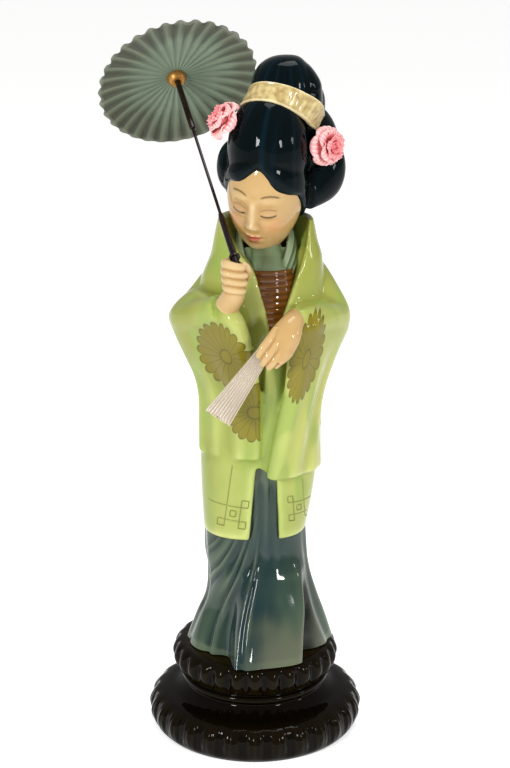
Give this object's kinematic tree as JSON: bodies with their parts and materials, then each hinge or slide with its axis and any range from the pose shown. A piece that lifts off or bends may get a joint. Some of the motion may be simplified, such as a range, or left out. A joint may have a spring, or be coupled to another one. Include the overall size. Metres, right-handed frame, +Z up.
{
  "type": "geisha figurine",
  "caption": "Glazed porcelain figurine of a robed woman with bowed head, holding a pleated parasol over one shoulder and a folded fan, on a round ribbed stand.",
  "frame": {"origin": "centre of the stand's flat underside", "axes": "+Z up through the figure, -Y out to the front that the figure faces, +X to the viewer's right"},
  "size_m": [0.1126, 0.1186, 0.3005],
  "materials": {
    "base": "gloss dark brown glaze",
    "figure": "gloss glaze, green robe over a blue-green kimono",
    "folded_fan": "matte bisque",
    "petals": "matte bisque",
    "parasol_canopy": "satin",
    "rod": "satin dark brown",
    "hub": "aged"
  },
  "bodies": {
    "root": {"base": "base", "figure": "figure", "folded_fan": "folded_fan", "flower_left": "petals", "flower_right": "petals", "parasol_canopy": "parasol_canopy", "parasol_handle": "rod", "parasol_hub": "hub", "parasol_rod": "rod", "parasol_tip": "hub", "parasol_upper_sleeve": "rod"}
  },
  "joints": []
}
